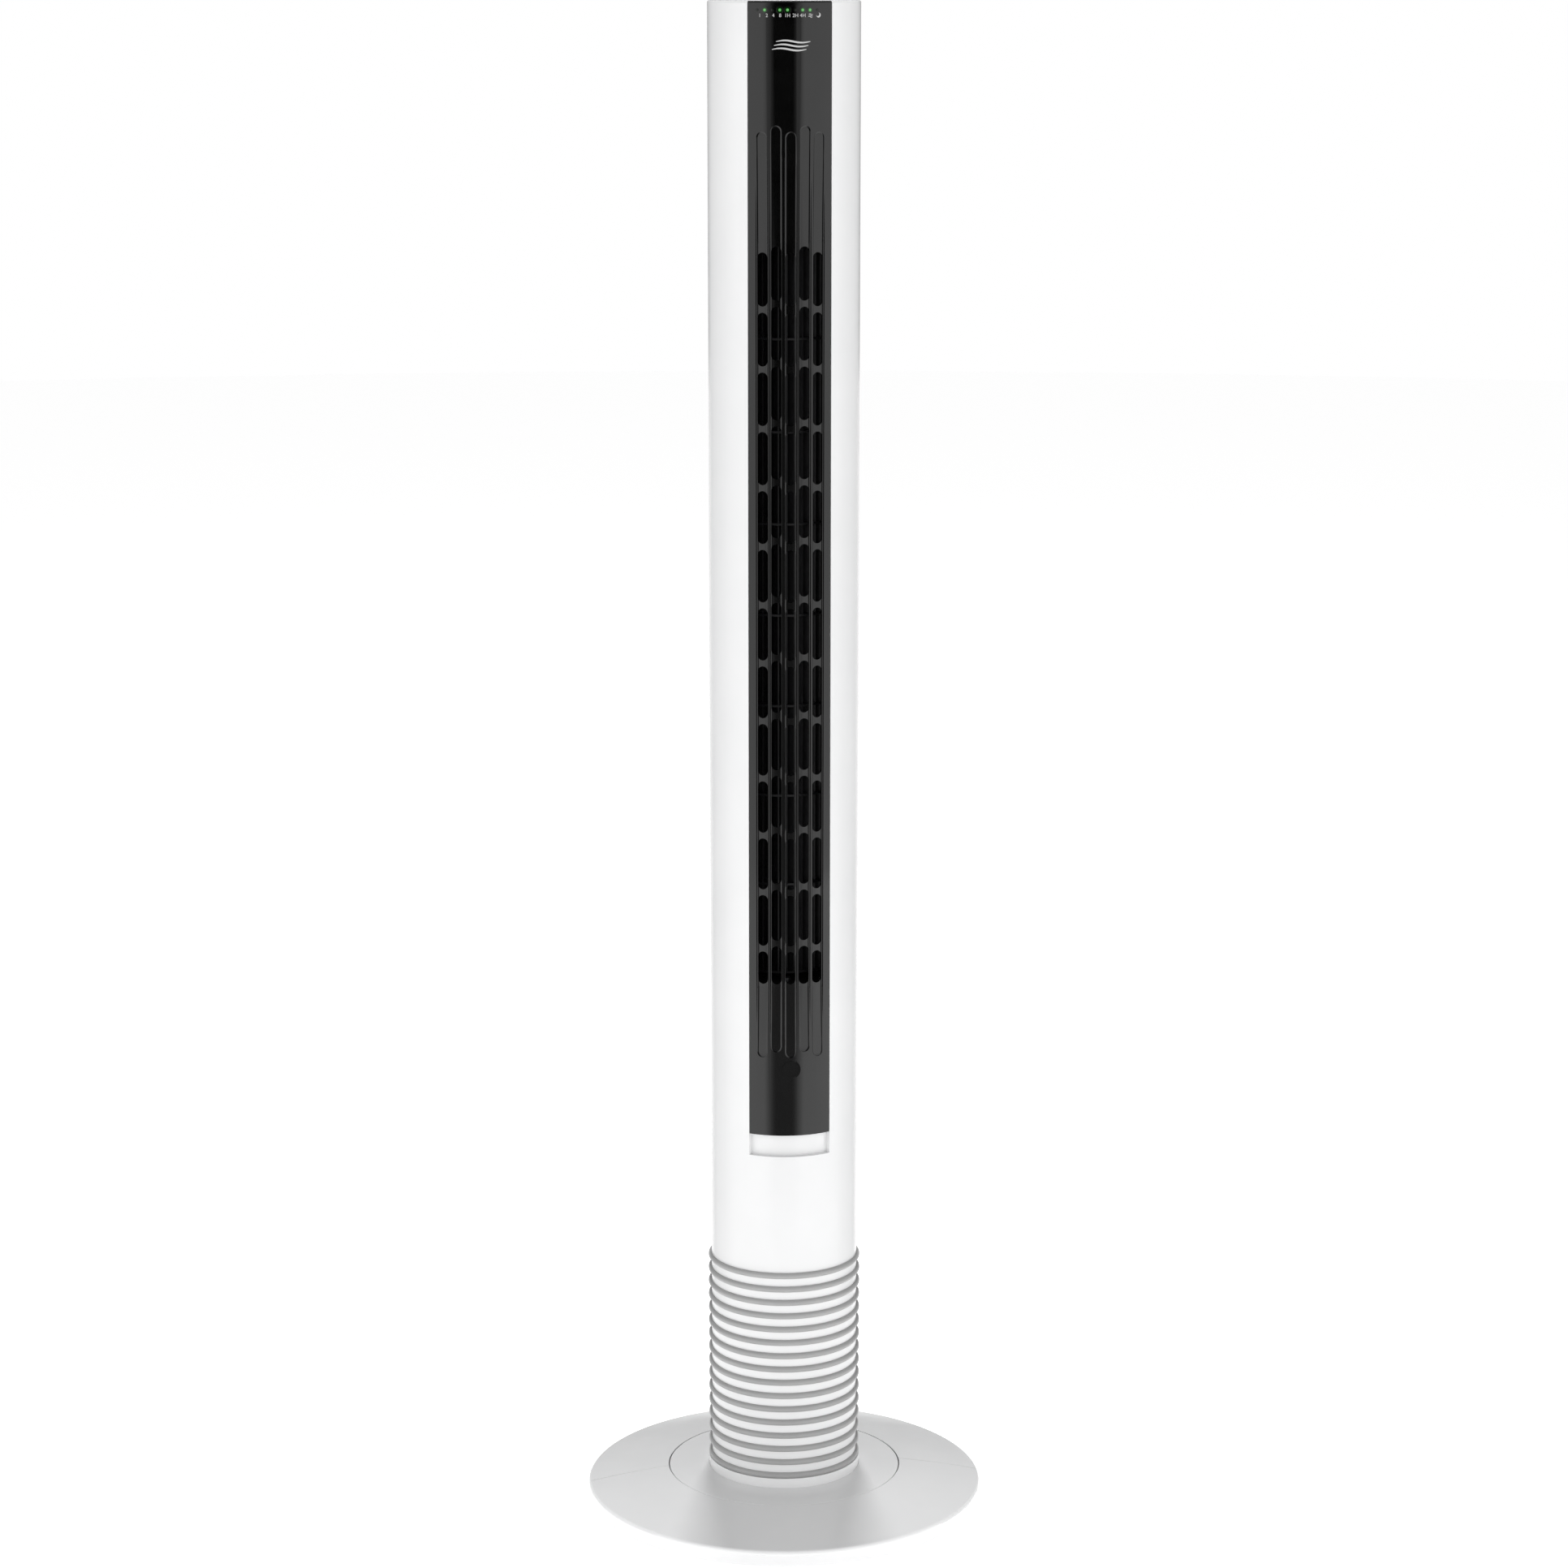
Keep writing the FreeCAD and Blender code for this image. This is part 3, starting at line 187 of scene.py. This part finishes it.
def grained(name, tone, spread, roughness, grain, depth, **sockets):
    """A moulded or cast surface: a tone with a little spread, and a grain of this many cells a metre."""
    made = Shader(name, **sockets)
    low = tuple(c * (1 - spread) for c in tone)
    high = tuple(min(1.0, c * (1 + spread)) for c in tone)
    made.link(made.ramp(made.noise(grain / 12, detail=4), (0.3, low), (0.7, high)), "Base Color")
    made.link(made.ramp(made.noise(grain / 3), (0.3, roughness * 0.85), (0.7, roughness * 1.15)), "Roughness")
    made.bump(made.noise(grain, detail=3), depth)
    return made.material


def turned_metal(name, tone, roughness, stretch):
    """Bright metal with the fine lines that turning, drawing or rolling leaves."""
    made = Shader(name, Metallic=1.0)
    lines = made.noise(60, detail=5, stretch=stretch)
    low = tuple(c * 0.86 for c in tone)
    made.link(made.ramp(lines, (0.3, low), (0.7, tone)), "Base Color")
    made.link(made.ramp(lines, (0.3, roughness * 0.7), (0.7, roughness * 1.3)), "Roughness")
    made.bump(lines, 0.01 * MM)
    return made.material


def lamination():
    """Stacked steel sheets: dark lines every half millimetre up the stack."""
    made = Shader("lamination", Metallic=0.9, Roughness=0.45)
    bands = made.node("TexWave", {"Vector": made.place.outputs["Object"], "Scale": 640.0},
                      wave_type="BANDS", bands_direction="Z").outputs["Fac"]
    made.link(made.ramp(bands, (0.2, 0.10), (0.6, 0.34)), "Base Color")
    made.bump(bands, 0.05 * MM)
    return made.material


def circuit_board():
    """Green solder mask over copper tracks."""
    made = Shader("circuit_board", Roughness=0.32, Coat_Weight=0.4)
    tracks = made.node("TexBrick", {"Vector": made.place.outputs["Object"], "Scale": 160.0,
                                    "Mortar Size": 0.03, "Color1": (0.005, 0.09, 0.03, 1),
                                    "Color2": (0.006, 0.10, 0.034, 1), "Mortar": (0.02, 0.2, 0.07, 1)})
    made.link(tracks.outputs["Color"], "Base Color")
    made.bump(made.noise(500), 0.01 * MM)
    return made.material


def lamp_glow():
    """A lit indicator: green, palest where the light source is nearest."""
    made = Shader("lamp_lit", Roughness=0.25, Emission_Strength=1.0)
    hot = made.noise(500, detail=1)
    made.link(made.ramp(hot, (0.3, (0.11, 0.36, 0.11)), (0.7, (0.17, 0.46, 0.16))), "Emission Color")
    made.link(made.ramp(hot, (0.3, (0.01, 0.05, 0.01)), (0.7, (0.02, 0.08, 0.02))), "Base Color")
    return made.material


def painted_lamp_glow():
    """The panel's own gloss, with a painted green glow near a lamp: emission that stands in for the lamp's
    light spilling through the panel.
    """
    made = gloss_shader("painted_lamp_glow")
    made.surface.inputs["Emission Strength"].default_value = 1.0
    # painted glow: green emission on the panel, strongest next to the lamp and none at the halo's edge
    nearness = made.node("Attribute", attribute_name="glow").outputs["Fac"]
    made.link(made.ramp(nearness, (0.0, (0, 0, 0)), (0.45, (0.0, 0.008, 0.0)), (0.8, (0.003, 0.05, 0.003)),
                        (1.0, (0.02, 0.17, 0.02))), "Emission Color")
    return made.material


def ink():
    """Pale grey pad print."""
    made = Shader("pad_print", Roughness=0.5)
    made.link(made.ramp(made.noise(2500, detail=2), (0.3, 0.52), (0.7, 0.62)), "Base Color")
    return made.material


def finishes():
    """One material for each of the record's slots."""
    return {
        "white_plastic": white_plastic(),
        "black_gloss": gloss_shader("piano_black").material,
        "grey_band": grey_band(),
        "black_plastic": grained("black_plastic", (0.012, 0.012, 0.013), 0.2, 0.42, 1500, 0.02 * MM),
        "lamp_lit": lamp_glow(),
        "lamp_dark": grained("lamp_dark", (0.006, 0.010, 0.006), 0.2, 0.15, 900, 0.002 * MM),
        "rubber": grained("rubber", (0.03, 0.03, 0.031), 0.25, 0.75, 1800, 0.04 * MM),
        "zinc_screw": turned_metal("zinc_plate", (0.62, 0.63, 0.66), 0.3, (1, 1, 8)),
        "ground_steel": turned_metal("ground_steel", (0.6, 0.6, 0.6), 0.22, (1, 1, 14)),
        "motor_can": turned_metal("motor_can", (0.5, 0.51, 0.53), 0.38, (1, 1, 5)),
        "lamination": lamination(),
        "bronze": turned_metal("bronze", (0.55, 0.36, 0.18), 0.4, (1, 1, 6)),
        "iron": grained("cast_iron", (0.10, 0.10, 0.105), 0.3, 0.6, 600, 0.1 * MM, Metallic=0.8),
        "acetal": grained("acetal", (0.82, 0.82, 0.79), 0.04, 0.4, 1200, 0.01 * MM),
        "circuit_board": circuit_board(),
        "switch_body": grained("switch_body", (0.02, 0.02, 0.022), 0.2, 0.5, 1600, 0.02 * MM),
        "button_grey": grained("button_grey", (0.42, 0.43, 0.44), 0.06, 0.3, 1400, 0.01 * MM),
    }


def dress_frame(materials):
    """Every CAD node takes the material of the slot that the record gives it."""
    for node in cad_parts.values():
        for held in node.material_slots:
            held.material = materials[held.material.name.split(".")[0]]


# ---------------------------------------------------------------- helpers for pieces

def around(angle, radius, height):
    """The point at this angle from the front, in degrees, positive towards +X."""
    turned = math.radians(angle)
    return Vector((radius * math.sin(turned), -radius * math.cos(turned), height))


def wrap(mesh, angle, height):
    """Lays a flat drawing (x across, y up, z thickness) on the panel's curved face."""
    for vertex in mesh.vertices:
        x, y, z = vertex.co
        radius = TOWER_RADIUS + PRINT_LIFT + z
        vertex.co = around(angle + math.degrees(x / TOWER_RADIUS), radius, height + y)


def finished_mesh(name, form):
    """The mesh that a bmesh describes."""
    mesh = bpy.data.meshes.new(name)
    form.to_mesh(mesh)
    form.free()
    return mesh


def linked(name, data):
    """A new object in the scene that holds this mesh, curve, light or camera."""
    made = bpy.data.objects.new(name, data)
    bpy.context.scene.collection.objects.link(made)
    return made


def on_panel(name, mesh, angle, height, material):
    """Lays a small mesh on the panel, where it rides on the tower."""
    wrap(mesh, angle, height)
    mesh.materials.clear()
    mesh.materials.append(material)
    piece = linked(name, mesh)
    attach(piece, "tower")
    return piece


# ---------------------------------------------------------------- print on the panel

def solid_drawing(curve):
    """A flat curve as a mesh of the print's thickness."""
    curve.extrude = PRINT_DEPTH / 2
    drawn = linked(curve.name, curve)
    bpy.context.view_layer.update()
    mesh = bpy.data.meshes.new_from_object(drawn)
    bpy.data.objects.remove(drawn)
    return mesh


def lettering(text, size):
    """Text centred on its origin."""
    curve = bpy.data.curves.new(text, "FONT")
    curve.body = text
    curve.size = size
    curve.align_x = "CENTER"
    curve.align_y = "CENTER"
    return curve


def outline(name, loop):
    """A filled flat curve from a closed loop of points."""
    curve = bpy.data.curves.new(name, "CURVE")
    curve.dimensions = "2D"
    curve.fill_mode = "BOTH"
    spline = curve.splines.new("POLY")
    spline.points.add(len(loop) - 1)
    for point, (x, y) in zip(spline.points, loop):
        point.co = (x, y, 0, 1)
    spline.use_cyclic_u = True
    return curve


def arc_points(x, y, radius, start, end, count):
    """Points along an arc from one angle to another, in degrees."""
    turns = [math.radians(start + (end - start) * step / (count - 1)) for step in range(count)]
    return [(x + radius * math.cos(turn), y + radius * math.sin(turn)) for turn in turns]


def crescent(size):
    """The night sign: a disc with a smaller disc bitten out of its upper left."""
    outer = arc_points(0, 0, size, 100, -190, 24)
    inner = arc_points(-0.38 * size, 0.36 * size, 0.80 * size, -145, 55, 20)
    return outline("crescent", outer + inner)


def wavy_stroke(form, x, y, length, sway, thickness, stations=33):
    """Adds a wavy bar that thins out at its ends, as a strip of short blocks that can follow a curve."""
    blunt_end = 0.06
    corners = []
    for step in range(stations):
        share = step / (stations - 1)
        fullness = math.sin(math.pi * (blunt_end + (1 - 2 * blunt_end) * share)) ** 0.6
        half = thickness / 2 * fullness
        middle = y + sway * math.sin(2 * math.pi * share)
        across = x + (share - 0.5) * length
        corners.append([form.verts.new((across, middle + side * half, depth * PRINT_DEPTH / 2))
                        for side, depth in ((1, 1), (1, -1), (-1, -1), (-1, 1))])
    for before, after in zip(corners, corners[1:]):
        for index in range(4):
            following = (index + 1) % 4
            form.faces.new((before[index], after[index], after[following], before[following]))
    form.faces.new(corners[0])
    form.faces.new(corners[-1][::-1])


def breeze(length, pitch, strokes=3):
    """Wavy strokes one above the other, each a little further to the right than the one below it."""
    form = bmesh.new()
    for row in range(strokes):
        step = row - (strokes - 1) / 2
        wavy_stroke(form, 0.06 * length * step, pitch * step, length, 0.28 * pitch, 0.46 * pitch)
    bmesh.ops.recalc_face_normals(form, faces=form.faces)
    return finished_mesh("breeze", form)


def make_print(material):
    """The legend under the lamps, hours and settings, and the breeze sign in the middle of the panel."""
    for text, angle in LEGEND:
        drawing = solid_drawing(lettering(text, LEGEND_SIZE))
        on_panel(f"legend_{text}", drawing, angle, LEGEND_HEIGHT, material)
    small = breeze(3.4 * MM, 1.0 * MM)
    on_panel("legend_breeze", small, LEGEND_BREEZE, LEGEND_HEIGHT, material)
    night = solid_drawing(crescent(1.8 * MM))
    on_panel("legend_night", night, LEGEND_NIGHT, LEGEND_HEIGHT + 0.3 * MM, material)
    on_panel("panel_sign", breeze(26 * MM, 2.9 * MM), SIGN_ANGLE, SIGN_HEIGHT, material)


# ---------------------------------------------------------------- lamps

def disc_rings(radii, lifts, segments=32):
    """A round cap: rings of these radii and heights, the last a wall's foot, and a flat underside."""
    form = bmesh.new()
    rings = []
    for radius, lift in zip(radii, lifts):
        ring = []
        for step in range(segments):
            turned = 2 * math.pi * step / segments
            ring.append(form.verts.new((radius * math.cos(turned), radius * math.sin(turned), lift)))
        rings.append(ring)
    for inner, outer in zip(rings, rings[1:]):
        for step in range(segments):
            following = (step + 1) % segments
            face = form.faces.new((inner[step], outer[step], outer[following], inner[following]))
            face.smooth = outer is not rings[-1]
    form.faces.new(rings[0]).smooth = True
    form.faces.new(rings[-1][::-1])
    bmesh.ops.recalc_face_normals(form, faces=form.faces)
    return finished_mesh("disc", form)


def make_lens(place, material, node):
    """A domed lens at one of the nine lamp places."""
    radii = [share * LAMP_RADIUS for share, _ in LENS_SECTION] + [LAMP_RADIUS]
    lifts = [rise * MM for _, rise in LENS_SECTION] + [-LAMP_SINK]
    mesh = disc_rings(radii, lifts)
    angle = LAMP_MIDDLE + LAMP_PITCH * place
    lens = on_panel(f"lamp_lens_{place + 5}", mesh, angle, LAMP_HEIGHT, material)
    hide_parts(node)


def make_halo(place, material):
    """Painted glow: a ring of the smoked panel round a lit lamp, whose emission stands in for the lamp's
    light that reaches it.
    """
    reach = [LAMP_RADIUS * (1.02 + HALO_STEP * ring) for ring in range(HALO_RINGS)]
    mesh = disc_rings(reach + [reach[-1]], [0] * HALO_RINGS + [-0.02 * MM])
    # share of painted glow at each point: one at the lamp's rim, none at the halo's edge
    glow = mesh.attributes.new("glow", "FLOAT", "POINT")
    for index, vertex in enumerate(mesh.vertices):
        distance = math.hypot(vertex.co.x, vertex.co.y)
        glow.data[index].value = max(0.0, 1 - (distance - reach[0]) / (reach[-1] - reach[0]))
    angle = LAMP_MIDDLE + LAMP_PITCH * place
    on_panel(f"lamp_halo_{place + 5}", mesh, angle, LAMP_HEIGHT, material)


def make_lamps(lit, unlit, smoked):
    """A lens at all nine places, and a ring of painted glow round each lit one."""
    for place in range(-4, 5):
        if place in LAMPS_LIT:
            make_lens(place, lit, "indicator_lamps")
            make_halo(place, smoked)
        else:
            make_lens(place, unlit, "indicator_lamps_off")


# ---------------------------------------------------------------- studio

def view_line(distance, height, turn=0.0):
    """The point this far from the axis, towards the camera or turned away from it by degrees."""
    turned = VIEW_TURN + math.radians(turn)
    return Vector((-distance * math.sin(turned), -distance * math.cos(turned), height))


def new_shader_nodes(tree, *kinds):
    """One new node of each kind."""
    return [tree.nodes.new("ShaderNode" + kind) for kind in kinds]


def spread(node, low, high, low_result, high_result):
    """Sets a Map Range node to carry low..high over to low_result..high_result."""
    ends = (("From Min", low), ("From Max", high), ("To Min", low_result), ("To Max", high_result))
    for socket, value in ends:
        node.inputs[socket].default_value = value


def make_world():
    """Bright at the horizon, dimmer overhead and behind the object; plain white to the camera."""
    world = bpy.data.worlds.new("studio")
    bpy.context.scene.world = world
    world.use_nodes = True
    tree = world.node_tree
    light = tree.nodes["Background"]
    place, split, ramp, ray, backdrop, mix, rearward, dimmer = new_shader_nodes(
        tree, "TexCoord", "SeparateXYZ", "ValToRGB", "LightPath", "Background", "MixShader",
        "VectorMath", "MapRange")
    backdrop.inputs["Color"].default_value = (1, 1, 1, 1)
    rearward.operation = "DOT_PRODUCT"
    rearward.inputs[1].default_value = view_line(-1, 0)
    dimmer.interpolation_type = "SMOOTHSTEP"
    spread(dimmer, -0.25, 0.75, 1.0, REAR_LIGHT)
    tones = ramp.color_ramp.elements
    while len(tones) < len(SKY):
        tones.new(0.5)
    for tone, (height, grey) in zip(tones, SKY):
        tone.position = height
        tone.color = (grey, grey, grey, 1)
    links = tree.links
    links.new(place.outputs["Generated"], split.inputs["Vector"])
    links.new(split.outputs["Z"], ramp.inputs["Fac"])
    links.new(ramp.outputs["Color"], light.inputs["Color"])
    links.new(place.outputs["Generated"], rearward.inputs[0])
    links.new(rearward.outputs["Value"], dimmer.inputs["Value"])
    links.new(dimmer.outputs["Result"], light.inputs["Strength"])
    links.new(ray.outputs["Is Camera Ray"], mix.inputs["Fac"])
    links.new(light.outputs["Background"], mix.inputs[1])
    links.new(backdrop.outputs["Background"], mix.inputs[2])
    links.new(mix.outputs["Shader"], tree.nodes["World Output"].inputs["Surface"])


def staged(name, mesh, material):
    """A piece of the studio, which isn't part of the object."""
    mesh.materials.append(material)
    made = linked(name, mesh)
    return made


def make_floor():
    """A round white floor, a little self-lit so that it stays white to its edge."""
    form = bmesh.new()
    bmesh.ops.create_circle(form, cap_ends=True, radius=FLOOR_RADIUS, segments=96)
    paper = Shader("white_paper", Roughness=0.9, Emission_Strength=FLOOR_GLOW,
                   Base_Color=(0.82, 0.82, 0.82, 1), Emission_Color=(1, 1, 1, 1))
    staged("floor", finished_mesh("floor", form), paper.material).location.z = cad_low.z


def card_material(name, width, foot_tone, head_tone):
    """A plain tone that runs from foot to head and fades away at the card's sides."""
    material = bpy.data.materials.new(name)
    material.use_nodes = True
    tree = material.node_tree
    tree.nodes.remove(tree.nodes["Principled BSDF"])
    place, split, side, fade, rise, clear, glow, mix = new_shader_nodes(
        tree, "TexCoord", "SeparateXYZ", "Math", "MapRange", "MapRange", "BsdfTransparent",
        "Emission", "MixShader")
    side.operation = "ABSOLUTE"
    fade.interpolation_type = "SMOOTHSTEP"
    spread(fade, CARD_CORE * width / 2, width / 2, 0.0, 1.0)
    spread(rise, 0.0, 0.95, foot_tone, head_tone)
    links = tree.links
    links.new(place.outputs["Object"], split.inputs["Vector"])
    links.new(split.outputs["X"], side.inputs[0])
    links.new(side.outputs["Value"], fade.inputs["Value"])
    links.new(split.outputs["Z"], rise.inputs["Value"])
    links.new(rise.outputs["Result"], glow.inputs["Color"])
    links.new(fade.outputs["Result"], mix.inputs["Fac"])
    links.new(glow.outputs["Emission"], mix.inputs[1])
    links.new(clear.outputs["BSDF"], mix.inputs[2])
    links.new(mix.outputs["Shader"], tree.nodes["Material Output"].inputs["Surface"])
    return material


def make_card(name, distance, turn, width, foot_tone, head_tone, dims_shading):
    """An upright card that darkens reflections and, if asked, the light that falls on the object."""
    form = bmesh.new()
    corners = [form.verts.new((x * width / 2, 0, z * CARD_HEIGHT))
               for x, z in ((-1, 0), (1, 0), (1, 1), (-1, 1))]
    form.faces.new(corners)
    card = staged(name, finished_mesh(name, form), card_material(name, width, foot_tone, head_tone))
    card.location = view_line(distance, 0, turn)
    card.rotation_euler.z = -VIEW_TURN - math.radians(turn)
    for kind in ("camera", "transmission", "volume_scatter", "shadow"):
        setattr(card, "visible_" + kind, False)
    card.visible_diffuse = dims_shading


def make_soft_light(name, distance, height, turn, aim, sides, power):
    """A soft box that lights the object but isn't seen in its gloss."""
    data = bpy.data.lights.new(name, "AREA")
    data.shape = "RECTANGLE"
    data.size, data.size_y = sides
    data.energy = power
    light = linked(name, data)
    light.location = view_line(distance, height, turn)
    light.rotation_euler = (light.location - Vector((0, 0, aim))).to_track_quat("Z", "Y").to_euler()
    light.visible_glossy = False
    light.visible_camera = False


def make_camera():
    """The view from a little above and to the left."""
    data = bpy.data.cameras.new("camera")
    data.sensor_width = SENSOR
    data.lens = LENS
    camera = linked("camera", data)
    camera.location = view_line(VIEW_DISTANCE, VIEW_HEIGHT)
    camera.rotation_euler = Euler((math.pi / 2 - VIEW_PITCH, 0, -VIEW_TURN))
    bpy.context.scene.camera = camera


materials = finishes()
dress_frame(materials)
make_print(ink())
make_lamps(materials["lamp_lit"], materials["lamp_dark"], painted_lamp_glow())
make_world()
make_floor()
for card in CARDS:
    make_card(*card)
for light in SOFT_LIGHTS:
    make_soft_light(*light)
make_camera()
bpy.context.scene.view_settings.view_transform = "Standard"
